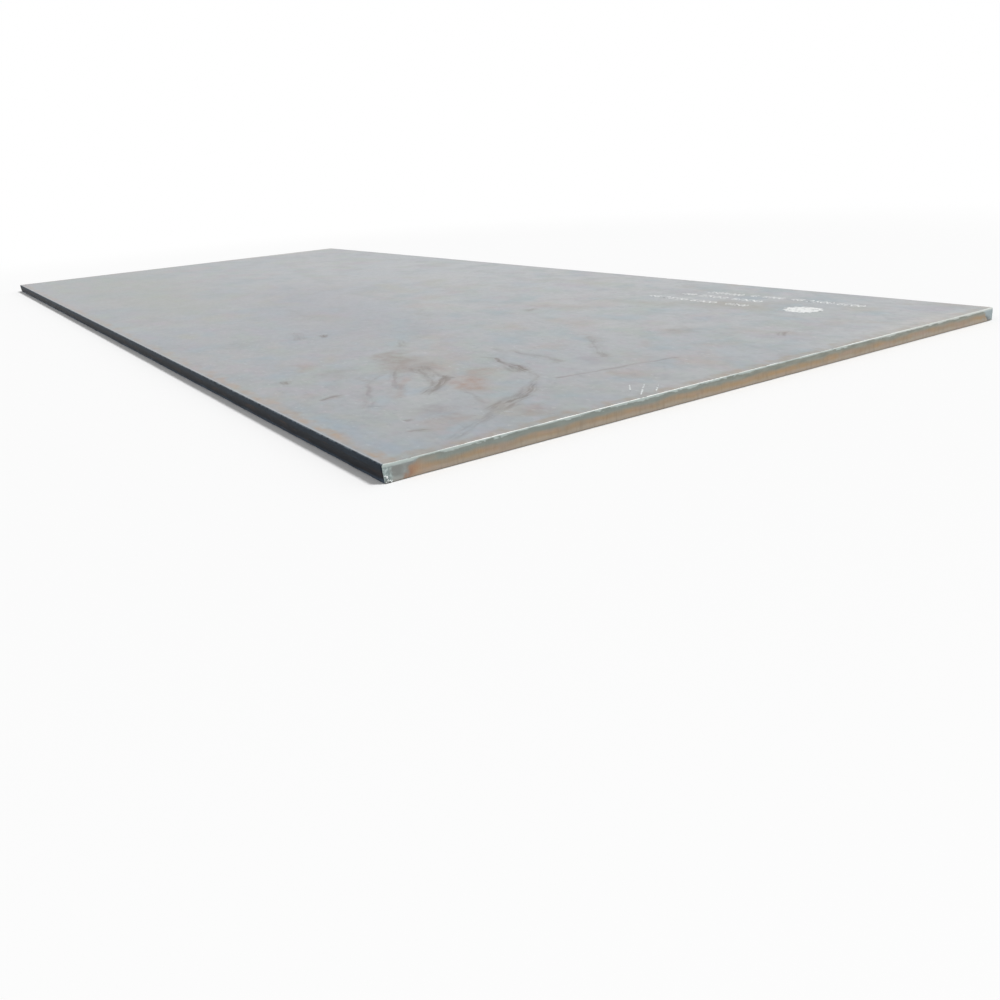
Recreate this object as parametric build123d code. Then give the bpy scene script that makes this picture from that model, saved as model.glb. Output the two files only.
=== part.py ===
"""Heavy hot-rolled steel plate, lying flat: one rolled piece with sheared long sides and torch-cut ends.

Millimetres. X runs across the plate, Y along it (the rolling direction) and Z up through its thickness.
The origin is the middle of the underside.
"""

import os

from build123d import *

# The plate as it is sold
plate_width = 2500.0
plate_length = 6000.0
plate_thickness = 48.0

# Long sides, trimmed by a shear: the top rolls over, a burnished land follows, then the steel tears inwards
rollover_radius = 6.0
burnished_land = 10.0
tear_setback = 2.5
side_foot_radius = 1.5

# Ends, cut by a torch: the flame melts the top rim round and leaves a small lip at the foot
melted_rim_radius = 3.0
end_foot_radius = 1.5

# Corner where the torch starts its cut (+X): a long, shallow facet that narrows towards its foot
start_facet_on_end = 70.0
start_facet_on_side = 5.0
start_facet_on_end_foot = 28.0

# Corner where the torch runs out (-X): a small facet, nearly upright
exit_facet_on_end = 24.0
exit_facet_on_side = 3.5
exit_facet_on_end_foot = 18.0

half_width = plate_width / 2
half_length = plate_length / 2


def round_rims(section, rim_radius, foot_radius):
    """Round the two top and the two bottom corners of a section that stands on its lowest edge."""
    section = fillet(section.vertices().group_by(Axis.Y)[-1], rim_radius)
    return fillet(section.vertices().group_by(Axis.Y)[0], foot_radius)


def sheared_section():
    """Section across the plate, with the sheared edge's land and torn slope on both sides."""
    foot = half_width - tear_setback
    land_bottom = plate_thickness - rollover_radius - burnished_land
    outline = Polyline(
        (-foot, 0),
        (foot, 0),
        (half_width, land_bottom),
        (half_width, plate_thickness),
        (-half_width, plate_thickness),
        (-half_width, land_bottom),
        close=True,
    )
    return round_rims(make_face(outline), rollover_radius, side_foot_radius)


def torch_cut_section():
    """Section along the plate, square at both ends apart from the melted rim and the foot."""
    section = Rectangle(plate_length, plate_thickness, align=(Align.CENTER, Align.MIN))
    return round_rims(section, melted_rim_radius, end_foot_radius)


def facet_plane(side, end, on_end, on_side, on_end_foot):
    """Plane of the facet burned off one corner; side and end are -1 or 1, and it faces off the plate."""
    top_on_end = Vector(side * (half_width - on_end), end * half_length, plate_thickness)
    top_on_side = Vector(side * half_width, end * (half_length - on_side), plate_thickness)
    foot_on_end = Vector(side * (half_width - on_end_foot), end * half_length, 0)
    along_top = top_on_side - top_on_end
    outwards = along_top.cross(foot_on_end - top_on_end) * (side * end)
    return Plane(origin=top_on_end, x_dir=along_top, z_dir=outwards)


def steel_plate():
    """The plate: both sections run through each other, then the torch's facets come off the corners."""
    trimmed = extrude(Plane.XZ * sheared_section(), amount=plate_length, both=True)
    cut_to_length = extrude(Plane.YZ * torch_cut_section(), amount=plate_width, both=True)
    plate = trimmed & cut_to_length
    for end in (-1, 1):
        start = facet_plane(1, end, start_facet_on_end, start_facet_on_side, start_facet_on_end_foot)
        plate = split(plate, bisect_by=start, keep=Keep.BOTTOM)
        run_out = facet_plane(-1, end, exit_facet_on_end, exit_facet_on_side, exit_facet_on_end_foot)
        plate = split(plate, bisect_by=run_out, keep=Keep.BOTTOM)
    return plate


os.makedirs("parts", exist_ok=True)
export_step(steel_plate(), "parts/steel_plate.step")
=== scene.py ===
"""Looks of a heavy hot-rolled steel plate: rolled faces under mill scale, torch-cut ends and sheared sides.

Metres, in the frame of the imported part: X across the plate, Y along it, Z up from the underside.
"""

import math

import bmesh
import bpy
import numpy as np
from mathutils import Matrix, Vector
from mathutils.bvhtree import BVHTree


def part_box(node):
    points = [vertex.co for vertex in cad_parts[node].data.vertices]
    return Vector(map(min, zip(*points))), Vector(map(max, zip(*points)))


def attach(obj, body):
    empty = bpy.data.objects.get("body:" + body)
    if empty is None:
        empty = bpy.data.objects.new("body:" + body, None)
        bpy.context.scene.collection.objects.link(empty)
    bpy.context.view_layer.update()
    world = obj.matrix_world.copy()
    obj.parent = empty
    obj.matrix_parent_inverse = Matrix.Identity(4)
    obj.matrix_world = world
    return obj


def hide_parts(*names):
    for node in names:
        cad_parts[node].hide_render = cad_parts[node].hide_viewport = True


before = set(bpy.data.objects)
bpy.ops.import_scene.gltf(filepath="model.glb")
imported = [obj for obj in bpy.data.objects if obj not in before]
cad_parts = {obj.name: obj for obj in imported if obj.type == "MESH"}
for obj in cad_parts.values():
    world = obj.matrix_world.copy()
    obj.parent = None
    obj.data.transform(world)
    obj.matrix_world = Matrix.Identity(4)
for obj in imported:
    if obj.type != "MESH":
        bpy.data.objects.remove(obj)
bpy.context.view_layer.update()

MM = 0.001
low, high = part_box("steel_plate")
HALF_WIDTH = (high.x - low.x) / 2
HALF_LENGTH = (high.y - low.y) / 2
THICKNESS = high.z - low.z

# Edge forms of the plate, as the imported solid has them
ROLLOVER = 6 * MM
BURNISHED_LAND = 10 * MM
TEAR_SETBACK = 2.5 * MM
MELTED_RIM = 3 * MM
FOOT_RADIUS = 1.5 * MM

# Facets that the torch burned off the corners: how far each runs along the end and along the side at the top,
# and along the end at the foot
START_FACET = (70 * MM, 5 * MM, 28 * MM)
EXIT_FACET = (24 * MM, 3.5 * MM, 18 * MM)

# How finely the skin is divided. A rolled face has one coarse cell for so many columns of the edges.
END_COLUMNS = 600
SIDE_COLUMNS = 720
FACET_COLUMNS = 12
COLUMNS_PER_CELL = 12

ROLLED, TORCH_CUT, SHEARED = 0, 1, 2

# Mix keeps its colour sockets, and Compare its whole-number sockets, behind those of their other data types
MIX_A, MIX_B, MIX_RESULT = 6, 7, 2
COMPARE_A, COMPARE_B = 2, 3


def placed(name, data):
    """A new object in the scene, at the origin."""
    made = bpy.data.objects.new(name, data)
    bpy.context.scene.collection.objects.link(made)
    return made


def finished_mesh(obj):
    """The plain mesh that an object's modifiers or its text come to."""
    graph = bpy.context.evaluated_depsgraph_get()
    return bpy.data.meshes.new_from_object(obj.evaluated_get(graph))


def linear(hex_colour):
    """Turn an sRGB hex colour into the linear RGBA that shaders take."""
    channels = [int(hex_colour[i:i + 2], 16) / 255 for i in (1, 3, 5)]
    return [c / 12.92 if c <= 0.04045 else ((c + 0.055) / 1.055) ** 2.4 for c in channels] + [1.0]


def node(tree, kind, inputs=(), **settings):
    """Add a node with its settings, fill or link its inputs, in order or by name, and return its outputs."""
    made = tree.nodes.new(kind)
    for name, value in settings.items():
        setattr(made, name, value)
    for key, value in inputs.items() if isinstance(inputs, dict) else enumerate(inputs):
        if isinstance(value, bpy.types.NodeSocket):
            tree.links.new(value, made.inputs[key])
        else:
            made.inputs[key].default_value = value
    return made.outputs


def new_material(name):
    """An empty node material, its tree, and the place on a piece in the piece's own coordinates."""
    material = bpy.data.materials.new(name)
    material.use_nodes = True
    tree = material.node_tree
    tree.nodes.clear()
    return material, tree, node(tree, "ShaderNodeTexCoord")["Object"]


def surfaced(material, inputs):
    """Close a material's tree with one opaque surface that has these inputs, and return the material."""
    tree = material.node_tree
    shader = node(tree, "ShaderNodeBsdfPrincipled", inputs)[0]
    node(tree, "ShaderNodeOutputMaterial", {"Surface": shader})
    return material


def band(tree, value, start, end):
    """0 at the start of a span of a value and 1 at its end, smoothly, and level outside it."""
    span = {"Value": value, "From Min": start, "From Max": end}
    return node(tree, "ShaderNodeMapRange", span, interpolation_type="SMOOTHSTEP", clamp=False)[0]


def between(tree, share, start, end):
    """A value between start, where the share is 0, and end, where it is 1."""
    return node(tree, "ShaderNodeMath", [share, end - start, start], operation="MULTIPLY_ADD")[0]


def patches(tree, place, grain, bare, full, detail=3.0):
    """Soft random patches, 0 where the noise is at the level bare and 1 at full; the grain is in mm."""
    per_metre = [1 / (g * MM) for g in grain]
    scaled = node(tree, "ShaderNodeVectorMath", [place, per_metre], operation="MULTIPLY")[0]
    level = node(tree, "ShaderNodeTexNoise", {"Vector": scaled, "Scale": 1.0, "Detail": detail})[0]
    return band(tree, level, bare, full)


def product(tree, *factors):
    """All the factors multiplied together."""
    total = factors[0]
    for factor in factors[1:]:
        total = node(tree, "ShaderNodeMath", [total, factor], operation="MULTIPLY")[0]
    return total


def from_edge(tree, along, half):
    """How far a place lies in from the nearer of two opposite edges."""
    span = node(tree, "ShaderNodeMath", [along], operation="ABSOLUTE")[0]
    return node(tree, "ShaderNodeMath", [half, span], operation="SUBTRACT")[0]


def layered(tree, colour, layers):
    """Lay colours over a colour, one after another, each where its mask is 1."""
    for mask, hex_colour in layers:
        colour = node(
            tree, "ShaderNodeMix", {0: mask, MIX_A: colour, MIX_B: linear(hex_colour)}, data_type="RGBA"
        )[MIX_RESULT]
    return colour


# The plate's skin


def facet_legs(facet, z):
    """A corner facet's lengths along the end and along the side at a height."""
    on_end_top, on_side_top, on_end_foot = facet
    on_end = on_end_foot + (on_end_top - on_end_foot) * z / THICKNESS
    return on_end, on_end * on_side_top / on_end_top


def contour(z, side_inset, end_inset, per_column=1):
    """One closed line round the plate, counter-clockwise from the front left, as points by column."""
    x = HALF_WIDTH - side_inset
    y = HALF_LENGTH - end_inset
    start_on_end, start_on_side = facet_legs(START_FACET, z)
    exit_on_end, exit_on_side = facet_legs(EXIT_FACET, z)
    corners = [
        (exit_on_end - x, -y, END_COLUMNS),
        (x - start_on_end, -y, FACET_COLUMNS),
        (x, start_on_side - y, SIDE_COLUMNS),
        (x, y - start_on_side, FACET_COLUMNS),
        (x - start_on_end, y, END_COLUMNS),
        (exit_on_end - x, y, FACET_COLUMNS),
        (-x, y - exit_on_side, SIDE_COLUMNS),
        (-x, exit_on_side - y, FACET_COLUMNS),
    ]
    points = []
    for (ax, ay, columns), (bx, by, _) in zip(corners, corners[1:] + corners[:1]):
        share = np.linspace(0, 1, columns // per_column, endpoint=False)
        run = [ax + (bx - ax) * share, ay + (by - ay) * share, np.full(len(share), z)]
        points.append(np.stack(run, axis=1))
    return np.concatenate(points)


def column_finishes():
    """Finish of the edge at every column, in the order that contour() goes round."""
    runs = [
        (END_COLUMNS, TORCH_CUT),
        (FACET_COLUMNS, TORCH_CUT),
        (SIDE_COLUMNS, SHEARED),
        (FACET_COLUMNS, TORCH_CUT),
    ]
    return np.concatenate([np.full(columns, finish) for columns, finish in runs * 2])


def rounding(depth, radius):
    """How far a rounded rim stands back at a depth below the face that it rounds."""
    if depth >= radius:
        return 0.0
    return radius - math.sqrt(radius**2 - (radius - depth) ** 2)


def edge_contour(depth):
    """Height and the two insets of the edge at a depth below the top face."""
    z = THICKNESS - depth
    land_bottom = THICKNESS - ROLLOVER - BURNISHED_LAND
    tear = TEAR_SETBACK * max(0.0, 1 - z / land_bottom)
    foot = rounding(z, FOOT_RADIUS)
    return z, rounding(depth, ROLLOVER) + tear + foot, rounding(depth, MELTED_RIM) + foot


# Rings of the skin, from the top face over the rim and down the edge to the underside
TOP_SPREADS = [s * MM for s in (40, 18, 8, 3)]
RIM_DEPTHS = [d * MM for d in (0, 0.25, 0.9, 1.9, 3.1, 4.5, 6.2)]
FACE_DEPTHS = [d * MM for d in (8, 10, 12, 14.5, 17, 20, 23, 26.5, 30, 33.5, 37, 40.5, 44)]
FOOT_DEPTHS = [THICKNESS - d * MM for d in (1.5, 0.8, 0.3, 0)]
UNDER_SPREADS = [s * MM for s in (6, 40)]
FACE_SPREAD = 110 * MM


def ring_contours():
    """(height, side inset, end inset) of every ring, and the rings where the edge starts and ends."""
    rings = [(THICKNESS, ROLLOVER + s, MELTED_RIM + s) for s in TOP_SPREADS]
    first_edge = len(rings)
    rings += [edge_contour(depth) for depth in RIM_DEPTHS + FACE_DEPTHS + FOOT_DEPTHS]
    last_edge = len(rings) - 1
    rings += [(0.0, TEAR_SETBACK + FOOT_RADIUS + s, FOOT_RADIUS + s) for s in UNDER_SPREADS]
    return rings, first_edge, last_edge


def face_grid(boundary, z):
    """Fill a rolled face inside a coarse contour: its inner points, and faces that point up.

    The faces count the contour's points first and the inner points after them.
    """
    across = END_COLUMNS // COLUMNS_PER_CELL + 1
    along = SIDE_COLUMNS // COLUMNS_PER_CELL + 1
    count = len(boundary)
    order = np.arange(count + 1) % count
    turns = np.cumsum([across, along, across])
    front, right, back, left = np.split(order[:2 * (across + along)], turns)
    back = back[::-1]
    left = left[::-1]
    x = boundary[front, 0]
    share = (x - x[0]) / (x[-1] - x[0])
    y_left = boundary[left, 1]
    y_right = boundary[right, 1]
    inner = np.zeros((across, along, 3))
    inner[..., 0] = x[:, None]
    inner[..., 1] = y_left + (y_right - y_left) * share[:, None]
    inner[..., 2] = z
    lattice = np.full((across + 2, along + 2), -1)
    lattice[1:-1, 0] = front
    lattice[1:-1, -1] = back
    lattice[0, 1:-1] = left
    lattice[-1, 1:-1] = right
    lattice[1:-1, 1:-1] = count + np.arange(across * along).reshape(across, along)
    faces = []
    for i in range(across + 1):
        for j in range(along + 1):
            cell = (lattice[i, j], lattice[i + 1, j], lattice[i + 1, j + 1], lattice[i, j + 1])
            faces.append([int(v) for v in cell if v >= 0])
    return inner.reshape(-1, 3), faces


def rolled_face(points, faces, ring_start, z, insets, upwards):
    """Add one rolled face: cells from its outermost ring to a coarse contour, then the grid inside that."""
    boundary = contour(z, *insets, COLUMNS_PER_CELL)
    cells = len(boundary)
    columns = cells * COLUMNS_PER_CELL
    base = sum(len(p) for p in points)
    made = []
    for cell in range(cells):
        fine = [ring_start + (cell * COLUMNS_PER_CELL + k) % columns for k in range(COLUMNS_PER_CELL + 1)]
        made.append([base + cell, *fine, base + (cell + 1) % cells])
    inner, grid = face_grid(boundary, z)
    made += [[base + v for v in cell] for cell in grid]
    points += [boundary, inner]
    faces += made if upwards else [cell[::-1] for cell in made]
    return len(made)


def plate_skin():
    """The plate as one closed mesh, fine along its edges, with its finishes, edge weights and map."""
    rings, first_edge, last_edge = ring_contours()
    points = [contour(*ring) for ring in rings]
    columns = len(points[0])
    here = np.arange(columns)
    after = (here + 1) % columns
    edge_finish = column_finishes()
    faces = []
    finish = []
    for ring in range(len(rings) - 1):
        upper = ring * columns
        lower = upper + columns
        faces += np.stack([upper + here, lower + here, lower + after, upper + after], axis=1).tolist()
        on_edge = first_edge <= ring < last_edge
        finish.append(edge_finish if on_edge else np.full(columns, ROLLED))
    top_insets = (ROLLOVER + FACE_SPREAD, MELTED_RIM + FACE_SPREAD)
    rolled = rolled_face(points, faces, 0, THICKNESS, top_insets, upwards=True)
    under_insets = (TEAR_SETBACK + FOOT_RADIUS + FACE_SPREAD, FOOT_RADIUS + FACE_SPREAD)
    rolled += rolled_face(points, faces, (len(rings) - 1) * columns, 0.0, under_insets, upwards=False)
    finish = np.concatenate(finish + [np.full(rolled, ROLLED)])

    mesh = bpy.data.meshes.new("steel_plate_skin")
    mesh.from_pydata(np.concatenate(points).tolist(), [], faces)
    mesh.polygons.foreach_set("use_smooth", np.ones(len(faces), bool))
    mesh.attributes.new("finish", "INT", "FACE").data.foreach_set("value", finish.astype(np.int32))
    edge_rings = slice(first_edge * columns, (last_edge + 1) * columns)
    ring_count = last_edge + 1 - first_edge
    for name, kind in (("torch", TORCH_CUT), ("tear", SHEARED)):
        weight = np.zeros(len(mesh.vertices), np.float32)
        weight[edge_rings] = np.tile(edge_finish == kind, ring_count)
        mesh.attributes.new(name, "FLOAT", "POINT").data.foreach_set("value", weight)
    descent = np.zeros(len(mesh.vertices), np.float32)
    descent[edge_rings] = np.repeat(np.linspace(0, 1, ring_count), columns)
    lay_out_map(mesh, finish, descent)
    return placed("steel_plate_skin", mesh)


# Places of the plate's faces on its own map: lowest and highest v
MAP_MARGIN = 0.004
MAP_ROWS = {
    "top": (0.440, 0.996),
    "underside": (0.290, 0.432),
    "left": (0.235, 0.282),
    "right": (0.180, 0.227),
    "front": (0.090, 0.172),
    "back": (0.004, 0.082),
}


def lay_out_map(mesh, finish, descent):
    """Give the skin a map with one strip for each face of the plate, the narrow edges drawn tall."""
    totals = np.zeros(len(mesh.polygons), np.int32)
    mesh.polygons.foreach_get("loop_total", totals)
    vertex = np.zeros(len(mesh.loops), np.int32)
    mesh.loops.foreach_get("vertex_index", vertex)
    centres = np.zeros(len(mesh.polygons) * 3, np.float32)
    mesh.polygons.foreach_get("center", centres)
    centre_x, centre_y, centre_z = centres.reshape(-1, 3).T
    place = np.zeros(len(mesh.vertices) * 3, np.float32)
    mesh.vertices.foreach_get("co", place)
    x, y, _ = place.reshape(-1, 3)[vertex].T
    strips = {
        "top": (finish == ROLLED) & (centre_z > THICKNESS / 2),
        "underside": (finish == ROLLED) & (centre_z < THICKNESS / 2),
        "left": (finish == SHEARED) & (centre_x < 0),
        "right": (finish == SHEARED) & (centre_x > 0),
        "front": (finish == TORCH_CUT) & (centre_y < 0),
        "back": (finish == TORCH_CUT) & (centre_y > 0),
    }
    along_length = y / HALF_LENGTH / 2 + 0.5
    along_width = x / HALF_WIDTH / 2 + 0.5
    uv = np.zeros((len(vertex), 2), np.float32)
    for name, chosen in strips.items():
        here = np.repeat(chosen, totals)
        lowest, highest = MAP_ROWS[name]
        u = along_width if name in ("front", "back") else along_length
        v = along_width if name in ("top", "underside") else 1 - descent[vertex]
        uv[here, 0] = MAP_MARGIN + (1 - 2 * MAP_MARGIN) * u[here]
        uv[here, 1] = lowest + (highest - lowest) * v[here]
    mesh.uv_layers.new(name="OFBake").uv.foreach_set("vector", uv.ravel())


# Relief and beads, grown by geometry trees


def new_tree(name, sizes):
    """A geometry tree with a geometry in and out and named size inputs, and its input sockets."""
    tree = bpy.data.node_groups.new(name, "GeometryNodeTree")
    tree.interface.new_socket("Geometry", in_out="INPUT", socket_type="NodeSocketGeometry")
    for size in sizes:
        tree.interface.new_socket(size, in_out="INPUT", socket_type="NodeSocketFloat")
    tree.interface.new_socket("Geometry", in_out="OUTPUT", socket_type="NodeSocketGeometry")
    return tree, node(tree, "NodeGroupInput")


def grow(obj, tree, sizes):
    """Run a geometry tree on an object with these sizes and keep the result as the object's plain mesh."""
    modifier = obj.modifiers.new(tree.name, "NODES")
    modifier.node_group = tree
    for item in tree.interface.items_tree:
        if item.in_out == "INPUT" and item.name in sizes:
            modifier[item.identifier] = sizes[item.name]
    made = finished_mesh(obj)
    obj.modifiers.remove(modifier)
    obj.data = made
    made.name = obj.name
    return obj


# Runs of the torch-cut rim where melted scale still clings, in millimetres across, how thick it hangs, and
# how far to each side of their ends the runs fade
FLAKE_RUNS = (
    (-1090, -920, 1.2),
    (-730, -40, 1.1),
    (330, 410, 1.0),
    (560, 650, 1.0),
    (820, 1190, 0.4),
)
FLAKE_FADE = 30

# Stretches of that rim where the scale is an even lip: x in millimetres where it starts and where it is full,
# and how far it drops as a share of the thickness
EVEN_LIPS = (
    (-1150, -1180, 0.48),
    (300, 900, 0.20),
)

RELIEF = {
    "Thickness": THICKNESS,
    "Face Wave": 1.2 * MM,
    "Drag Lines": 0.3 * MM,
    "Torch Sway": 1.0 * MM,
    "Rim Nicks": 1.0 * MM,
    "Flakes": 0.5 * MM,
    "Torn Grain": 0.8 * MM,
}


def clinging_scale(tree, place, across, share):
    """Mask of the melted scale that hangs from a torch-cut rim, further down where the noise is higher.

    At the corner where the torch ran out, and all along the right, it hangs as an even lip.
    """
    cover = 0.0
    for start, end, thick in FLAKE_RUNS:
        inside = product(
            tree,
            thick,
            band(tree, across, (start - FLAKE_FADE) * MM, (start + FLAKE_FADE) * MM),
            band(tree, across, (end + FLAKE_FADE) * MM, (end - FLAKE_FADE) * MM),
        )
        cover = node(tree, "ShaderNodeMath", [inside, cover], operation="ADD")[0]
    hang = patches(tree, place, (26, 80, 12), 0.34, 0.64, 5.0)
    most = between(tree, cover, 0.22, 0.67)
    reach = band(tree, share, 0.72, 1.0)
    reach = node(tree, "ShaderNodeMath", [hang, most, reach], operation="MULTIPLY_ADD")[0]
    for start, full, drop in EVEN_LIPS:
        lip = band(tree, across, start * MM, full * MM)
        reach = node(tree, "ShaderNodeMath", [lip, drop, reach], operation="MULTIPLY_ADD")[0]
    return band(tree, reach, 0.78, 0.94)


def edge_relief_tree(materials):
    """Tree that waves the top face, roughens the torch-cut and torn edges and gives each face its material.

    Where melted scale still clings below the rim of a torch cut, it stores how much as "flake".
    """
    tree, size = new_tree("edge_relief", RELIEF)
    place = node(tree, "GeometryNodeInputPosition")[0]
    normal = node(tree, "GeometryNodeInputNormal")[0]
    torch = node(tree, "GeometryNodeInputNamedAttribute", {"Name": "torch"}, data_type="FLOAT")[0]
    tear = node(tree, "GeometryNodeInputNamedAttribute", {"Name": "tear"}, data_type="FLOAT")[0]
    across, _, height = node(tree, "ShaderNodeSeparateXYZ", [place])
    share = node(tree, "ShaderNodeMath", [height, size["Thickness"]], operation="DIVIDE")[0]
    near_rim = band(tree, share, 0.70, 0.95)
    below_land = band(tree, share, 0.67, 0.55)
    flake = product(tree, clinging_scale(tree, place, across, share), torch)
    no_flake = node(tree, "ShaderNodeMath", [torch, flake], operation="SUBTRACT")[0]

    cuts = [
        product(tree, patches(tree, place, (11, 500, 60), 0.3, 0.7), torch, size["Drag Lines"]),
        product(tree, patches(tree, place, (150, 500, 200), 0.3, 0.7), torch, size["Torch Sway"]),
        product(tree, patches(tree, place, (16, 30, 14), 0.58, 0.70), torch, near_rim, size["Rim Nicks"]),
        product(tree, no_flake, size["Flakes"]),
        product(tree, patches(tree, place, (30, 38, 20), 0.60, 0.75), tear, near_rim, size["Rim Nicks"]),
        product(tree, patches(tree, place, (500, 260, 4), 0.3, 0.7), tear, below_land, size["Torn Grain"]),
        product(tree, patches(tree, place, (500, 30, 12), 0.45, 0.75), tear, below_land, size["Torn Grain"]),
    ]
    depth = cuts[0]
    for cut in cuts[1:]:
        depth = node(tree, "ShaderNodeMath", [depth, cut], operation="ADD")[0]
    inwards = product(tree, depth, -1.0)
    dent = node(tree, "ShaderNodeVectorMath", {0: normal, "Scale": inwards}, operation="SCALE")[0]
    sag = product(tree, patches(tree, place, (900, 1500, 900), 0.25, 0.75), share, size["Face Wave"])
    sink = node(tree, "ShaderNodeCombineXYZ", {"Z": product(tree, sag, -1.0)})[0]
    offset = node(tree, "ShaderNodeVectorMath", [dent, sink], operation="ADD")[0]
    shape = node(
        tree,
        "GeometryNodeStoreNamedAttribute",
        {"Geometry": size["Geometry"], "Name": "flake", "Value": flake},
        data_type="FLOAT",
        domain="POINT",
    )[0]
    shape = node(tree, "GeometryNodeSetPosition", {"Geometry": shape, "Offset": offset})[0]
    shape = node(tree, "GeometryNodeRealizeInstances", [shape])[0]
    finish = node(tree, "GeometryNodeInputNamedAttribute", {"Name": "finish"}, data_type="INT")[0]
    for kind, material in materials.items():
        alike = {COMPARE_A: finish, COMPARE_B: kind}
        chosen = node(tree, "FunctionNodeCompare", alike, data_type="INT", operation="EQUAL")[0]
        shape = node(
            tree, "GeometryNodeSetMaterial", {"Geometry": shape, "Selection": chosen, "Material": material}
        )[0]
    node(tree, "NodeGroupOutput", [shape])
    return tree


# Slag beads: how many, their radius before it varies, how crowded they are at each height above the
# underside, and how far they reach from the corner
BEADS = {"Beads Per Square Metre": 30000.0, "Bead Radius": 3.0 * MM}
BEAD_HEIGHTS = [z * MM for z in (2.5, 8, 15, 24)]
BEAD_CROWDING = (1.0, 0.8, 0.5, 0.15)
BEAD_CORNER = 24 * MM


def slag_bead_tree(material):
    """Tree that scatters small round beads over the strips it is given, as thick as the strips' crowding."""
    tree, size = new_tree("slag_beads", BEADS)
    crowd = node(tree, "GeometryNodeInputNamedAttribute", {"Name": "crowd"}, data_type="FLOAT")[0]
    density = product(tree, crowd, size["Beads Per Square Metre"])
    spots = node(
        tree,
        "GeometryNodeDistributePointsOnFaces",
        {"Mesh": size["Geometry"], "Density": density, "Seed": 5},
        distribute_method="RANDOM",
    )[0]
    ball = {"Segments": 8, "Rings": 5, "Radius": size["Bead Radius"]}
    bead = node(tree, "GeometryNodeMeshUVSphere", ball)[0]
    scale = node(
        tree,
        "FunctionNodeRandomValue",
        {"Min": (0.3, 0.3, 0.3), "Max": (1.2, 0.9, 1.3), "Seed": 9},
        data_type="FLOAT_VECTOR",
    )[0]
    shape = node(tree, "GeometryNodeInstanceOnPoints", {"Points": spots, "Instance": bead, "Scale": scale})[0]
    shape = node(tree, "GeometryNodeRealizeInstances", [shape])[0]
    shape = node(tree, "GeometryNodeSetShadeSmooth", {"Geometry": shape})[0]
    shape = node(tree, "GeometryNodeSetMaterial", {"Geometry": shape, "Material": material})[0]
    node(tree, "NodeGroupOutput", [shape])
    return tree


def bead_strips():
    """Strips along the foot of the torch-cut ends, crowded with beads only where the torch ran out."""
    rows = [contour(*edge_contour(THICKNESS - z)) for z in BEAD_HEIGHTS]
    columns = len(rows[0])
    torch = np.flatnonzero(column_finishes() == TORCH_CUT)
    after = (torch + 1) % columns
    faces = []
    crowding = []
    for row, share in enumerate(BEAD_CROWDING):
        from_corner = HALF_WIDTH + rows[row][:, 0]
        crowding.append(share * np.where(from_corner < BEAD_CORNER, 1.0, 0.0))
        if row:
            upper = row * columns
            lower = upper - columns
            faces += np.stack([upper + torch, lower + torch, lower + after, upper + after], axis=1).tolist()
    mesh = bpy.data.meshes.new("slag_beads")
    mesh.from_pydata(np.concatenate(rows).tolist(), [], faces)
    crowd = mesh.attributes.new("crowd", "FLOAT", "POINT")
    crowd.data.foreach_set("value", np.concatenate(crowding).astype(np.float32))
    return placed("slag_beads", mesh)


# Marks on the top face, in millimetres: x and y of the start and the end, half width, strength
SCUFFS = (
    # Fan of drag marks behind the front left corner
    (-802, -2121, -886, -2180, 24, 0.20),
    (-886, -2106, -890, -2199, 26, 0.26),
    (-890, -2199, -1035, -2486, 30, 0.28),
    (-1035, -2486, -1013, -2526, 26, 0.24),
    (-755, -2106, -893, -2384, 34, 0.30),
    (-659, -2134, -727, -2299, 40, 0.36),
    (-664, -2152, -700, -2359, 30, 0.36),
    (-714, -2117, -718, -2270, 28, 0.30),
    (-700, -2180, -755, -2345, 30, 0.36),
    (-686, -2340, -824, -2471, 50, 0.64),
    (-712, -2350, -690, -2358, 34, 0.60),
    (-800, -2455, -818, -2474, 30, 0.60),
    (-760, -2560, -783, -2714, 22, 0.18),
    (-740, -2330, -790, -2400, 26, 0.34),
    (-460, -2160, -439, -2240, 26, 0.30),
    (-439, -2230, -494, -2450, 46, 0.60),
    (-466, -2370, -476, -2450, 34, 0.74),
    (-480, -2491, -500, -2546, 30, 0.34),
    (-349, -2079, -370, -2200, 30, 0.24),
    (-329, -2161, -326, -2436, 40, 0.30),
    (0, -2187, -100, -2350, 38, 0.34),
    (-100, -2350, -175, -2500, 34, 0.32),
    # Smear that runs across to the front left corner, and the scratch beside it
    (-500, -2560, -576, -2642, 30, 0.26),
    (-576, -2642, -659, -2725, 50, 0.54),
    (-659, -2725, -776, -2780, 66, 0.66),
    (-1030, -2945, -776, -2780, 44, 0.26),
    (-64, -2705, -465, -2626, 20, 0.34),
    # Older marks further back
    (-487, -1625, -537, -1750, 30, 0.40),
    (-700, -1080, -745, -1240, 52, 0.30),
    # Single spots
    (415, -2735, 450, -2715, 48, 0.44),
    (-655, -1285, -635, -1240, 38, 0.66),
    (-1080, -2297, -1048, -2293, 34, 0.75),
    (-1092, -2000, -1087, -1975, 38, 0.55),
    (-1057, -2809, -1036, -2821, 32, 0.60),
    (-1036, -2700, -1031, -2706, 18, 0.65),
    (225, -1500, 245, -1480, 48, 0.40),
)

DIRT_FILMS = (
    (-640, -1840, -700, -2120, 130, 1.10),
    (-690, -2350, -810, -2450, 50, 0.55),
    (-620, -2680, -740, -2770, 60, 0.45),
    (245, -2325, 285, -2370, 95, 0.75),
    (-60, -1000, -150, -1270, 70, 0.40),
    (-985, -1200, -990, -1150, 120, 0.40),
    (-920, -2050, -905, -1990, 110, 0.60),
    (-940, -2640, -930, -2680, 110, 0.55),
    (-690, -2960, -745, -2880, 80, 0.50),
    (-480, -480, -490, -760, 160, 0.35),
    (-790, -2210, -700, -2130, 90, 0.40),
)

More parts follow.
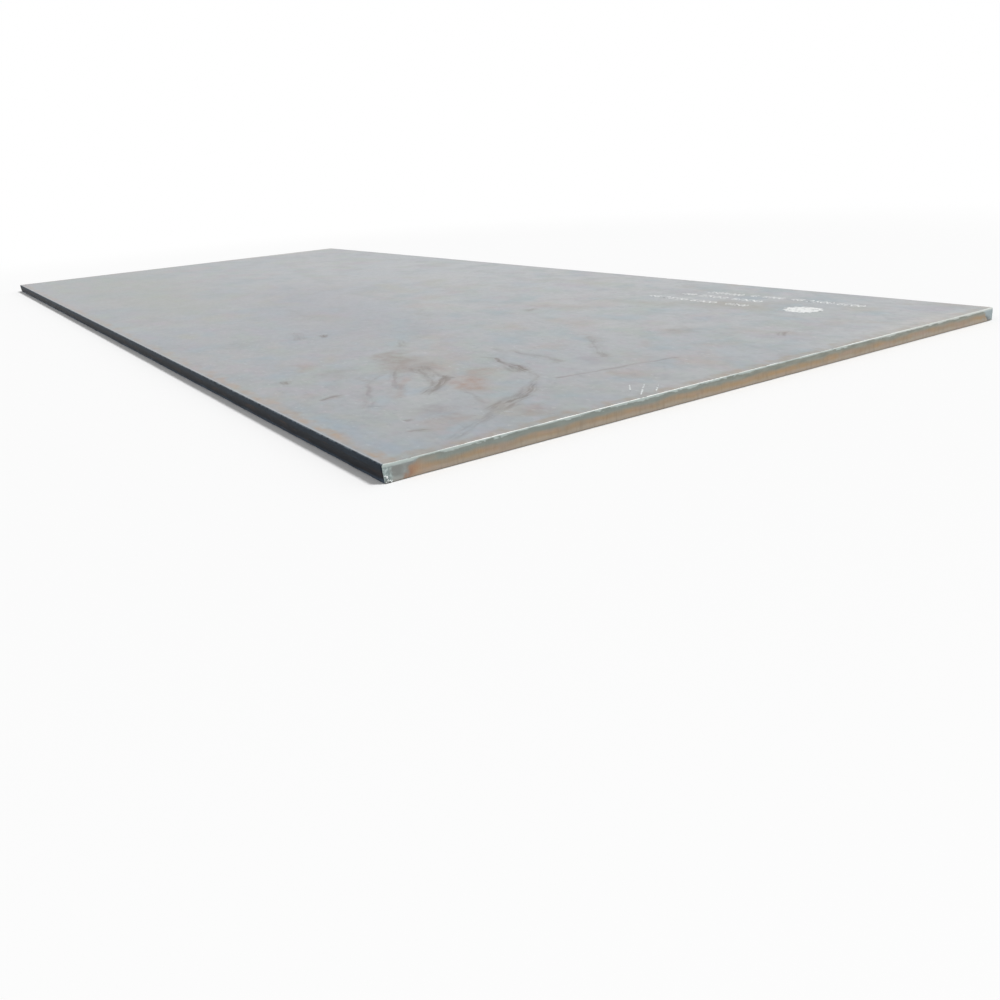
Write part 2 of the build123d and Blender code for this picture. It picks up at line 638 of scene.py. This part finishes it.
RUST_SMEARS = (
    (-640, -1840, -690, -2080, 130, 0.30),
    (-576, -2326, -680, -2440, 110, 0.85),
    (-640, -2400, -700, -2560, 85, 1.20),
    (-800, -2250, -906, -2450, 34, 0.60),
    (-650, -2150, -660, -2330, 55, 0.50),
    (20, -2150, -30, -2260, 40, 0.35),
    (-950, -1760, -950, -1820, 75, 0.65),
    (-301, -2720, -301, -2760, 80, 0.55),
    (-727, -2850, -735, -2900, 65, 0.55),
    (-960, -2775, -1000, -2820, 80, 0.55),
    (-915, -2770, -930, -2800, 85, 0.75),
    (-1085, -2200, -1088, -2240, 60, 0.50),
    (70, -2420, 30, -2470, 50, 0.30),
    (640, -1760, 710, -1920, 120, 0.20),
    (760, -1950, 830, -2300, 150, 0.25),
    (330, -1460, 420, -1640, 120, 0.30),
)

TEMPER_BLUES = (
    (-1165, -2480, -1170, -2900, 90, 0.95),
    (-1160, -2930, -1150, -2955, 45, 0.7),
    (-860, -2340, -850, -2440, 75, 1.0),
    (-815, -2410, -790, -2460, 60, 0.8),
    (-600, -2560, -570, -2620, 60, 0.7),
    (-560, -2840, -520, -2960, 60, 0.3),
    (-980, -1500, -1050, -1850, 130, 0.6),
    (-180, -1850, -260, -2000, 120, 0.3),
)

LILACS = (
    (-260, -2480, -255, -2550, 90, 0.8),
    (-250, -1350, -330, -1560, 130, 0.45),
    (-500, -1300, -100, 300, 600, 0.45),
    (-640, -1000, -680, -1150, 90, 0.5),
    (-930, -2620, -900, -2700, 80, 0.6),
    (90, -1680, 45, -1800, 30, 0.5),
)

GREENS = ((-800, 200, -700, 2600, 700, 0.8), (650, -1750, 800, -2250, 170, 0.8))


def mark_group():
    """Node group for one mark along a line that starts thin: a film that fades out at the half width.

    Its scratches are strands of the film that run along the mark.
    """
    group = bpy.data.node_groups.new("drag_mark", "ShaderNodeTree")
    for vector in ("Place", "From", "To"):
        group.interface.new_socket(vector, in_out="INPUT", socket_type="NodeSocketVector")
    for number in ("Half Width", "Strength"):
        group.interface.new_socket(number, in_out="INPUT", socket_type="NodeSocketFloat")
    for mask in ("Film", "Scratches"):
        group.interface.new_socket(mask, in_out="OUTPUT", socket_type="NodeSocketFloat")
    given = node(group, "NodeGroupInput")
    start = given["From"]
    run = node(group, "ShaderNodeVectorMath", [given["To"], start], operation="SUBTRACT")[0]
    reach = node(group, "ShaderNodeVectorMath", [given["Place"], start], operation="SUBTRACT")[0]
    shadow = node(group, "ShaderNodeVectorMath", [reach, run], operation="DOT_PRODUCT")["Value"]
    square = node(group, "ShaderNodeVectorMath", [run, run], operation="DOT_PRODUCT")["Value"]
    along = node(group, "ShaderNodeMath", [shadow, square], operation="DIVIDE")[0]
    along = node(group, "ShaderNodeClamp", {"Value": along})[0]
    foot = node(group, "ShaderNodeVectorMath", {0: run, "Scale": along}, operation="SCALE")[0]
    gap = node(group, "ShaderNodeVectorMath", [reach, foot], operation="DISTANCE")["Value"]
    edge = product(group, between(group, along, 0.6, 1.0), given["Half Width"])
    film = product(group, band(group, gap, edge, 0.0), given["Strength"])

    heading = node(group, "ShaderNodeVectorMath", [run], operation="NORMALIZE")[0]
    across = node(group, "ShaderNodeVectorMath", [heading, (0, 0, 1)], operation="CROSS_PRODUCT")[0]
    ahead = node(group, "ShaderNodeVectorMath", [reach, heading], operation="DOT_PRODUCT")["Value"]
    aside = node(group, "ShaderNodeVectorMath", [reach, across], operation="DOT_PRODUCT")["Value"]
    local = node(group, "ShaderNodeCombineXYZ", [ahead, aside])[0]
    local = node(group, "ShaderNodeVectorMath", [local, start], operation="ADD")[0]
    strands = patches(group, local, (100, 15, 1000), 0.34, 0.66)
    scratches = product(group, film, strands)
    node(group, "NodeGroupOutput", [film, scratches])
    return group


def marks(tree, place, group, listed):
    """The strongest film and the strongest scratches of the listed marks at each place."""
    strongest = {"Film": 0.0, "Scratches": 0.0}
    for x1, y1, x2, y2, half_width, strength in listed:
        mark = {
            "Place": place,
            "From": (x1 * MM, y1 * MM, 0),
            "To": (x2 * MM, y2 * MM, 0),
            "Half Width": half_width * MM,
            "Strength": strength,
        }
        masks = node(tree, "ShaderNodeGroup", mark, node_tree=group)
        for name, before in strongest.items():
            pair = [before, masks[name]]
            strongest[name] = node(tree, "ShaderNodeMath", pair, operation="MAXIMUM")[0]
    return strongest["Film"], strongest["Scratches"]


def wandering(tree, place, grain, swing):
    """A place pushed about by noise and laid flat, so that what is drawn from it wanders; both in mm."""
    clouds = {"Vector": place, "Scale": 1 / (grain * MM), "Detail": 4}
    noise = node(tree, "ShaderNodeTexNoise", clouds)["Color"]
    push = node(tree, "ShaderNodeVectorMath", [noise, (0.5, 0.5, 0.5)], operation="SUBTRACT")[0]
    push = node(tree, "ShaderNodeVectorMath", {0: push, "Scale": swing * MM}, operation="SCALE")[0]
    moved = node(tree, "ShaderNodeVectorMath", [place, push], operation="ADD")[0]
    return node(tree, "ShaderNodeVectorMath", [moved, (1, 1, 0)], operation="MULTIPLY")[0]


# Finishes


def edge_rust(tree, place, x, y, from_side, from_end):
    """Masks of the rust that creeps in from the sides and from the ends, deeper at some places than others.

    Along the sides it starts behind the rolled-over rim, is strongest at the front left and hardly shows on
    the right.
    """
    creep = product(tree, patches(tree, place, (60, 110, 50), 0.25, 0.75, 5.0), 36 * MM)
    masks = []
    for gap in (from_side, from_end):
        reach = node(tree, "ShaderNodeMath", [gap, creep], operation="SUBTRACT")[0]
        masks.append(band(tree, reach, 36 * MM, 4 * MM))
    flecks = between(tree, patches(tree, place, (40, 60, 50), 0.30, 0.70, 4.0), 0.3, 1.6)
    behind_rim = band(tree, from_side, 5 * MM, 16 * MM)
    on_left = between(tree, band(tree, x, MM, -MM), 0.15, 1.0)
    at_front = between(tree, band(tree, y, -1.0, -2.8), 0.34, 0.64)
    off_right = between(tree, band(tree, x, 0.4, 1.2), 0.42, 0.2)
    side_rust = product(tree, masks[0], behind_rim, on_left, at_front, flecks)
    return side_rust, product(tree, masks[1], off_right, flecks)


# Clouds of the scale and the finer tints over them: grain in millimetres, noise at which one is bare and at
# which it is full, strength, colour
SCALE_CLOUDS = (
    ((110, 190, 150), 0.46, 0.72, 0.46, "#7c8183"),
    ((150, 260, 240), 0.48, 0.70, 0.55, "#948c97"),
    ((170, 300, 300), 0.48, 0.70, 0.55, "#8d978f"),
)
SCALE_TINTS = (
    ((130, 190, 200), 0.48, 0.70, 0.60, "#82939c"),
    ((170, 260, 140), 0.50, 0.72, 0.55, "#958d82"),
    ((45, 70, 110), 0.50, 0.72, 0.40, "#80868a"),
    ((40, 60, 170), 0.50, 0.72, 0.40, "#988f96"),
    ((50, 75, 260), 0.50, 0.72, 0.40, "#909a96"),
    ((240, 300, 90), 0.52, 0.72, 0.40, "#a3a5a6"),
    ((16, 34, 60), 0.60, 0.74, 0.50, "#767d84"),
    ((14, 30, 120), 0.60, 0.74, 0.50, "#a9acad"),
)


def mill_scale():
    """Hot-rolled mill scale: hard blue-grey iron oxide with a satin sheen, clouded where it is thicker.

    A thin film of rust shows as tan clouds and along the edges, and handling has left brown drag marks.
    """
    material, tree, place = new_material("hot_rolled_mill_scale")
    x, y, z = node(tree, "ShaderNodeSeparateXYZ", [place])
    on_top = band(tree, z, 0.4 * THICKNESS, 0.6 * THICKNESS)

    # Drag marks follow lines that the noise bends a little. Patches of film are bent much more.
    group = mark_group()
    smudge, scratches = marks(tree, wandering(tree, place, 120, 60), group, SCUFFS)
    smudge = product(tree, smudge, 0.38, on_top)
    scuff = product(tree, scratches, on_top)
    patch_place = wandering(tree, place, 130, 150)
    cloudy = between(tree, patches(tree, place, (35, 55, 50), 0.20, 0.80, 5.0), 0.25, 0.75)
    cloudy = product(tree, cloudy, on_top)
    dirt, rust, blue, lilac, green = (
        product(tree, marks(tree, patch_place, group, listed)[0], cloudy)
        for listed in (DIRT_FILMS, RUST_SMEARS, TEMPER_BLUES, LILACS, GREENS)
    )
    from_side = from_edge(tree, x, HALF_WIDTH)
    from_end = from_edge(tree, y, HALF_LENGTH)
    side_rust, end_rust = edge_rust(tree, place, x, y, from_side, from_end)

    # A painted sheen makes the scale paler towards the right; dust lies along the ends there
    painted_sheen = between(tree, band(tree, y, 0.0, HALF_LENGTH), 0.6, 0.4)
    painted_sheen = product(tree, band(tree, x, -HALF_WIDTH, HALF_WIDTH), painted_sheen)
    dusty = product(tree, band(tree, x, 0.3, 0.9), band(tree, from_end, 130 * MM, 50 * MM), 0.6)
    # The front of the plate has been handled more, so its tints are stronger
    ramp = {"Value": y, "From Min": 0.5, "From Max": -2.0, "To Min": 0.4}
    handled = node(tree, "ShaderNodeMapRange", ramp)[0]

    # The first layer is the painted sheen, paler towards the right
    layers = [(painted_sheen, "#a8abad")]
    for grain, bare, full, strength, tint in SCALE_CLOUDS:
        layers.append((product(tree, patches(tree, place, grain, bare, full, 5.0), strength), tint))
    layers.append((dusty, "#b0ada8"))
    for grain, bare, full, strength, tint in SCALE_TINTS:
        layers.append((product(tree, patches(tree, place, grain, bare, full), strength, handled), tint))
    layers += [
        (product(tree, green, 0.9), "#8b9086"),
        (product(tree, blue, 0.9), "#7c8d9b"),
        (product(tree, lilac, 0.9), "#7f7986"),
        (dirt, "#726b65"),
        (product(tree, rust, 0.9), "#8f7261"),
        (side_rust, "#937f6c"),
        (end_rust, "#877761"),
        (smudge, "#73675d"),
        (scuff, "#53453b"),
    ]
    oxide = patches(tree, place, (420, 520, 400), 0.30, 0.70, 5.0)
    colour = layered(tree, linear("#888f96"), [(oxide, "#939395"), *layers])
    shade = between(tree, patches(tree, place, (18, 30, 20), 0.2, 0.8, 4.0), 0.935, 1.065)
    colour = node(tree, "ShaderNodeHueSaturation", {"Color": colour, "Value": shade})[0]

    worn = node(tree, "ShaderNodeMath", [rust, scuff], operation="MAXIMUM")[0]
    roughness = between(tree, worn, 0.47, 0.62)
    # The pits of real scale are finer; they are drawn this coarse so that they show
    pits = patches(tree, place, (7, 7, 7), 0.2, 0.8, 4.0)
    bump = node(tree, "ShaderNodeBump", {"Strength": 0.5, "Distance": 0.25 * MM, "Height": pits})[0]
    return surfaced(material, {"Base Color": colour, "Roughness": roughness, "IOR": 1.8, "Normal": bump})


# Length of the grey at the corner where the torch ran out, at the rim and at the foot
EXIT_GREY = (94 * MM, 46 * MM)


def torch_corners(tree, place, x, share, pale):
    """Layers of the greys at the corners of a torch-cut end, which are longer at the rim than at the foot.

    The corner where the torch ran out is silver-grey up to a rust-red fringe, and its facet is flecked with
    painted glints. The one where it started is a clean blue-grey with a dark smear at its foot.
    """
    at_start = band(tree, x, -MM, MM)
    at_exit = band(tree, x, MM, -MM)
    grey_rim = between(tree, at_start, EXIT_GREY[0], START_FACET[0])
    grey_foot = between(tree, at_start, EXIT_GREY[1], START_FACET[2])
    grey_span = node(tree, "ShaderNodeMapRange", {"Value": share, "To Min": grey_foot, "To Max": grey_rim})[0]
    from_corner = from_edge(tree, x, HALF_WIDTH)
    inside = node(tree, "ShaderNodeMath", [grey_span, from_corner], operation="SUBTRACT")[0]
    fray = patches(tree, place, (24, 300, 18), 0.25, 0.75, 5.0)
    inside = node(tree, "ShaderNodeMath", [fray, 18 * MM, inside], operation="MULTIPLY_ADD")[0]
    corner = band(tree, inside, 0.0, 20 * MM)
    fringe = product(tree, band(tree, inside, -75 * MM, 5 * MM), band(tree, share, 1.0, 0.45), at_exit)
    scorch = product(tree, band(tree, inside, -22 * MM, 6 * MM), band(tree, share, 0.90, 0.25), at_exit)
    edge = node(tree, "ShaderNodeMath", [fray, -12 * MM, from_corner], operation="MULTIPLY_ADD")[0]
    facet = product(tree, band(tree, edge, 22 * MM, 8 * MM), at_exit)
    smear = product(tree, band(tree, inside, 0.0, 12 * MM), band(tree, inside, 32 * MM, 14 * MM))
    smear = product(tree, smear, band(tree, share, 0.60, 0.30), at_start)
    # Painted glints on the facet where the torch ran out
    sparkle = patches(tree, place, (7, 300, 7), 0.40, 0.64)
    mottle = patches(tree, place, (30, 300, 26), 0.40, 0.70, 5.0)
    chill = band(tree, share, 0.70, 0.90)
    return [
        (product(tree, fringe, 0.65), "#ae8a68"),
        (product(tree, scorch, 0.8), "#8b6752"),
        (product(tree, corner, at_exit), "#7b7e7b"),
        (product(tree, corner, chill, at_exit, 0.8), "#93a1a2"),
        (product(tree, corner, pale, at_exit, 0.8), "#a1a5a2"),
        (product(tree, corner, mottle, at_exit, 0.5), "#9ea3a0"),
        (product(tree, corner, at_start), "#909c9f"),
        (product(tree, corner, chill, at_start, 0.8), "#b3bec0"),
        (product(tree, smear, 0.9), "#5a5d5b"),
        (facet, "#83918f"),
        (product(tree, facet, sparkle, 0.8), "#b9c5c2"),
    ]


def torch_cut_face():
    """Steel cut by a torch: a bright melted rim with clinging pale scale, grey-green oxide, then tan rust.

    The rim is bare melted metal whitened further by a painted highlight, thinner and dimmer towards the
    right.
    """
    material, tree, place = new_material("torch_cut_steel")
    x, _, z = node(tree, "ShaderNodeSeparateXYZ", [place])
    share = node(tree, "ShaderNodeMath", [z, THICKNESS], operation="DIVIDE")[0]
    sway = patches(tree, place, (110, 300, 90), 0.25, 0.75, 5.0)
    level = node(tree, "ShaderNodeMath", [sway, 0.18, share], operation="MULTIPLY_ADD")[0]
    rise = product(tree, band(tree, x, 0.1, 0.9), 0.06)
    level = node(tree, "ShaderNodeMath", [level, rise], operation="SUBTRACT")[0]
    flake = node(tree, "ShaderNodeAttribute", attribute_name="flake")["Fac"]

    tan = band(tree, level, 0.79, 0.47)
    ochre = patches(tree, place, (60, 300, 30), 0.36, 0.72, 5.0)
    rosy = patches(tree, place, (110, 300, 16), 0.46, 0.70)
    green = patches(tree, place, (30, 300, 20), 0.50, 0.72)
    streaks = patches(tree, place, (12, 300, 50), 0.45, 0.75)
    pale = band(tree, level, 0.46, 0.18)
    to_right = band(tree, x, 0.2, 0.9)
    # Painted highlight along the melted rim, thinner and dimmer towards the right
    rim = node(tree, "ShaderNodeMath", [to_right, 0.06, share], operation="MULTIPLY_ADD")[0]
    rim = product(tree, band(tree, rim, 0.950, 0.978), between(tree, to_right, 1.0, 0.2))
    cool = product(tree, band(tree, x, 0.1, -0.5), 0.5)
    warm = product(tree, band(tree, x, -0.5, -0.1), band(tree, x, 0.5, 0.2), 0.35)
    grime = patches(tree, place, (45, 300, 12), 0.30, 0.70, 5.0)
    layers = [
        (grime, "#8a8d83"),
        (cool, "#788380"),
        (tan, "#93836e"),
        (product(tree, tan, warm), "#ab8b5e"),
        (product(tree, tan, ochre, 0.5), "#a8875b"),
        (product(tree, tan, green, 0.45), "#86857a"),
        (product(tree, pale, 0.75), "#a49b8d"),
        (product(tree, tan, rosy, 0.35), "#a68f84"),
        (product(tree, tan, streaks, 0.3), "#746453"),
        *torch_corners(tree, place, x, share, pale),
        (product(tree, flake, 0.8), "#b3beba"),
        (product(tree, flake, to_right, 0.6), "#c4c6c0"),
        # Near-white rim: bare metal with a painted highlight
        (rim, "#fdfdfa"),
        # Darker towards the foot: dross, and a painted contact shadow along the bottom edge
        (product(tree, band(tree, share, 0.22, 0.05), 0.4), "#7f776b"),
        (band(tree, share, 0.05, 0.0), "#4e453d"),
    ]
    colour = layered(tree, linear("#797d74"), layers)
    drag = patches(tree, place, (3, 300, 30), 0.2, 0.8, 2.0)
    bump = node(tree, "ShaderNodeBump", {"Strength": 0.4, "Distance": 0.4 * MM, "Height": drag})[0]
    return surfaced(material, {"Base Color": colour, "Roughness": 0.55, "Normal": bump})


def sheared_face():
    """Steel parted by a shear: a pale rolled-over rim, a smooth blue-black land, then brown torn grain.

    The dark scale is darkened further as painted shade, and the pale rim and the speckles below it are
    rolled-over steel with a painted highlight.
    """
    material, tree, place = new_material("sheared_steel")
    height = node(tree, "ShaderNodeSeparateXYZ", [place])["Z"]
    share = node(tree, "ShaderNodeMath", [height, THICKNESS], operation="DIVIDE")[0]
    sway = patches(tree, place, (300, 120, 40), 0.25, 0.75)
    level = node(tree, "ShaderNodeMath", [sway, 0.12, share], operation="MULTIPLY_ADD")[0]
    torn = band(tree, level, 0.74, 0.62)
    streaks = patches(tree, place, (300, 240, 3), 0.35, 0.70)
    rusty = patches(tree, place, (300, 90, 14), 0.50, 0.70)
    speckle = patches(tree, place, (300, 18, 20), 0.35, 0.65)
    # These colours are darker than the steel's own: painted shade over dark scale
    layers = [
        (sway, "#2a3641"),
        (torn, "#25282d"),
        (product(tree, torn, rusty, 0.8), "#3f3430"),
        (product(tree, streaks, 0.5), "#25292f"),
        (product(tree, band(tree, level, 0.30, 0.10), 0.8), "#4f5d6d"),
        # Speckles and a pale line at the rolled-over rim: bright steel with a painted highlight
        (product(tree, band(tree, share, 0.88, 0.96), speckle), "#65737e"),
        (band(tree, share, 0.952, 0.985), "#b8babd"),
    ]
    # Dark base, darkened further as painted shade
    colour = layered(tree, linear("#1e2934"), layers)
    grain = patches(tree, place, (300, 60, 2), 0.2, 0.8, 2.0)
    bump = node(tree, "ShaderNodeBump", {"Strength": 0.6, "Distance": 0.4 * MM, "Height": grain})[0]
    surface = {"Base Color": colour, "Roughness": 0.6, "Specular IOR Level": 0.11, "Normal": bump}
    return surfaced(material, surface)


def slag():
    """Slag from the torch: glassy drops, mottled from grey to white, the white partly a painted glint."""
    material, tree, place = new_material("cutting_slag")
    mottle = patches(tree, place, (6, 6, 6), 0.3, 0.7)
    # Grey slag, with white patches that are painted glints
    colour = layered(tree, linear("#9aa3a1"), [(mottle, "#f2f4f3")])
    return surfaced(material, {"Base Color": colour, "Roughness": 0.22})


def worn_white(name, white, bare, full):
    """White paint or chalk, worn through to the grey scale where the noise is low."""
    material, tree, place = new_material(name)
    kept = patches(tree, place, (14, 22, 10), bare, full)
    colour = layered(tree, linear("#8f9295"), [(kept, white)])
    return surfaced(material, {"Base Color": colour, "Roughness": 0.6})


# Thin films on the top face

# How far a film stands above the face. It is sunk in as deep, so that it leaves no gap.
PAINT_FILM = 0.3 * MM


def lay_film(name, flat, skin, material):
    """Make a flat mesh a thin closed film that lies on the skin's top face, as an object."""
    shape = bmesh.new()
    shape.from_mesh(flat)
    bmesh.ops.remove_doubles(shape, verts=shape.verts, dist=0.05 * MM)
    above = 2 * THICKNESS
    for vertex in shape.verts:
        hit = skin.ray_cast(Vector((vertex.co.x, vertex.co.y, above)), Vector((0, 0, -1)))[0]
        vertex.co.z = hit.z - PAINT_FILM
    raised = bmesh.ops.extrude_face_region(shape, geom=shape.faces[:])["geom"]
    for part in raised:
        if isinstance(part, bmesh.types.BMVert):
            part.co.z += 2 * PAINT_FILM
    bmesh.ops.recalc_face_normals(shape, faces=shape.faces)
    mesh = bpy.data.meshes.new(name)
    shape.to_mesh(mesh)
    shape.free()
    mesh.materials.append(material)
    return placed(name, mesh)


# The digits of the plain built-in font are 0.69 of its size high
DIGIT_HEIGHT = 38 * MM
FONT_SIZE = DIGIT_HEIGHT / 0.69


def stencil_rows():
    """Rows of plain numbers, the plate's sizes in mm, that read from the left side, as one flat mesh."""
    thick, wide, long = (f"{size / MM:.0f}" for size in (THICKNESS, 2 * HALF_WIDTH, 2 * HALF_LENGTH))
    # x of a word's middle and y where it starts and ends, in millimetres. Some words stand close together.
    words = (
        (800, -1643, -2050, f"{thick} {wide} {long}"),
        (807, -2100, -2217, f"{thick}{wide}"),
        (918, -1733, -2195, f"{thick} {wide} {long}"),
        (1010, -1812, -2010, f"{wide}{long}"),
        (1018, -2050, -2085, thick),
        (1024, -2115, -2224, long),
        (1028, -2262, -2613, f"{thick} {wide} {long}"),
    )
    shape = bmesh.new()
    for x, start, end, text in words:
        curve = bpy.data.curves.new("stencil", "FONT")
        curve.body = text
        curve.size = FONT_SIZE
        curve.resolution_u = 4
        writing = placed("stencil", curve)
        letters = finished_mesh(writing)
        squeeze = Matrix.Scale((start - end) * MM / writing.dimensions.x, 4, (1, 0, 0))
        turn = Matrix.Rotation(-math.pi / 2, 4, "Z")
        letters.transform(Matrix.Translation((x * MM - DIGIT_HEIGHT / 2, start * MM, 0)) @ turn @ squeeze)
        shape.from_mesh(letters)
        bpy.data.objects.remove(writing)
    flat = bpy.data.meshes.new("stencil_rows")
    shape.to_mesh(flat)
    shape.free()
    return flat


def ragged_strokes(strokes, seed):
    """Flat brush or chalk strokes with ragged edges, from (x, y, x, y, width) in millimetres."""
    rng = np.random.default_rng(seed)
    points = []
    faces = []
    steps = 9
    for x1, y1, x2, y2, width in strokes:
        start = np.array((x1, y1, 0)) * MM
        run = np.array((x2, y2, 0)) * MM - start
        across = np.array((-run[1], run[0], 0)) / np.linalg.norm(run)
        base = len(points)
        for step in range(steps + 1):
            share = step / steps
            # A stroke is narrower at both ends
            swell = width * MM / 2 * (0.45 + 0.55 * math.sin(math.pi * (0.12 + 0.76 * share)))
            for side in (-1, 1):
                edge = side * swell * rng.uniform(0.75, 1.1)
                points.append(start + run * share + across * edge)
        for step in range(steps):
            first = base + 2 * step
            faces.append((first, first + 1, first + 3, first + 2))
    flat = bpy.data.meshes.new("strokes")
    flat.from_pydata([tuple(p) for p in points], [], faces)
    return flat


# Strokes of white paint side by side, and of chalk
PAINT_DAB = (
    (800, -2510, 798, -2420, 26),
    (818, -2528, 820, -2392, 26),
    (838, -2540, 840, -2378, 26),
    (859, -2546, 858, -2382, 26),
    (878, -2535, 880, -2396, 24),
    (897, -2515, 896, -2420, 22),
)
CHALK_TALLY = (
    (-442, -2923, -395, -2865, 5),
    (-447, -2972, -361, -2890, 6),
    (-398, -2978, -342, -2928, 5),
)


# Stage


def seen_ray(tree):
    """1 for rays that show the room itself: from the camera, in a reflection or through glass."""
    ray = node(tree, "ShaderNodeLightPath")
    seen = ray["Is Camera Ray"]
    for kind in ("Is Glossy Ray", "Is Transmission Ray"):
        seen = node(tree, "ShaderNodeMath", [seen, ray[kind]], operation="MAXIMUM")[0]
    return seen


# The floor: half its width, its gap below the plate, and how far out it starts and ends fading into the room
FLOOR_EDGE = 30.0
FLOOR_GAP = 0.5 * MM
FLOOR_FADE = (3.5, 7.0)
ROOM_LIGHT = 0.45


def white_floor():
    """A white floor that keeps the plate's shadow and fades into the white room."""
    mesh = bpy.data.meshes.new("floor")
    corners = [(x * FLOOR_EDGE, y * FLOOR_EDGE, -FLOOR_GAP) for x, y in ((-1, -1), (1, -1), (1, 1), (-1, 1))]
    mesh.from_pydata(corners, [], [(0, 1, 2, 3)])
    floor = placed("floor", mesh)
    material, tree, place = new_material("white_floor")
    reach = node(tree, "ShaderNodeVectorMath", [place], operation="LENGTH")["Value"]
    far = product(tree, band(tree, reach, *FLOOR_FADE), seen_ray(tree))
    matt = node(tree, "ShaderNodeBsdfDiffuse", {"Color": linear("#f6f6f6")})[0]
    white = node(tree, "ShaderNodeEmission", {"Color": (1, 1, 1, 1), "Strength": 1.0})[0]
    blend = node(tree, "ShaderNodeMixShader", [far, matt, white])[0]
    node(tree, "ShaderNodeOutputMaterial", {"Surface": blend})
    mesh.materials.append(material)


def white_room():
    """A white room all round, which shows brighter than it lights the plate."""
    world = bpy.data.worlds.new("white_room")
    bpy.context.scene.world = world
    world.use_nodes = True
    tree = world.node_tree
    tree.nodes.clear()
    strength = between(tree, seen_ray(tree), ROOM_LIGHT, 1.0)
    room = node(tree, "ShaderNodeBackground", {"Color": (1, 1, 1, 1), "Strength": strength})[0]
    node(tree, "ShaderNodeOutputWorld", {"Surface": room})


# The lamp: its strength, its softness in degrees and where it shines
KEY_LIGHT = 2.3
KEY_SOFTNESS = 12
KEY_DIRECTION = (-0.45, 0.36, -0.82)


def key_light():
    """One soft lamp from the front right, above."""
    lamp = bpy.data.lights.new("key", "SUN")
    lamp.energy = KEY_LIGHT
    lamp.angle = math.radians(KEY_SOFTNESS)
    key = placed("key", lamp)
    key.rotation_euler = Vector(KEY_DIRECTION).to_track_quat("-Z", "Y").to_euler()


# Where the photograph was taken from, fitted to the edges of the plate's top face; the angles are in degrees
CAMERA_PLACE = (-2.0666, -4.7978, 0.6707)
CAMERA_YAW = 33.080
CAMERA_PITCH = -20.526
CAMERA_ROLL = -4.131
FOCAL_PIXELS = 907.1
CENTRE_PIXEL_X = 516.36
PHOTO_PIXELS = 1000
SENSOR_MM = 36.0


def photo_camera():
    """The photograph's camera, with its roll, and shifted because the frame is off the lens's axis."""
    yaw = math.radians(CAMERA_YAW)
    pitch = math.radians(CAMERA_PITCH)
    roll = math.radians(CAMERA_ROLL)
    look = Vector((math.sin(yaw) * math.cos(pitch), math.cos(yaw) * math.cos(pitch), math.sin(pitch)))
    level = Vector((math.cos(yaw), -math.sin(yaw), 0))
    upright = level.cross(look)
    right = level * math.cos(roll) + upright * math.sin(roll)
    up = upright * math.cos(roll) - level * math.sin(roll)
    lens = bpy.data.cameras.new("photo_camera")
    lens.sensor_width = SENSOR_MM
    lens.lens = FOCAL_PIXELS / PHOTO_PIXELS * SENSOR_MM
    lens.shift_x = 0.5 - CENTRE_PIXEL_X / PHOTO_PIXELS
    lens.clip_start = 0.05
    camera = placed("photo_camera", lens)
    turn = Matrix((right, up, -look)).transposed().to_4x4()
    camera.matrix_world = Matrix.Translation(CAMERA_PLACE) @ turn
    bpy.context.scene.camera = camera


# The pieces

finishes = {ROLLED: mill_scale(), TORCH_CUT: torch_cut_face(), SHEARED: sheared_face()}
plate = grow(plate_skin(), edge_relief_tree(finishes), RELIEF)
beads = grow(bead_strips(), slag_bead_tree(slag()), BEADS)

skin = BVHTree.FromPolygons([v.co for v in plate.data.vertices], [p.vertices for p in plate.data.polygons])
paint = worn_white("worn_white_paint", "#e3e5e4", 0.34, 0.46)
chalk = worn_white("worn_chalk", "#d2d6d6", 0.34, 0.56)
films = [
    lay_film("stencil_numbers", stencil_rows(), skin, paint),
    lay_film("paint_dab", ragged_strokes(PAINT_DAB, 3), skin, paint),
    lay_film("chalk_tally", ragged_strokes(CHALK_TALLY, 8), skin, chalk),
]
for piece in [plate, beads, *films]:
    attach(piece, "root")
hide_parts("steel_plate")

white_floor()
white_room()
key_light()
photo_camera()
bpy.context.scene.view_settings.view_transform = "Standard"
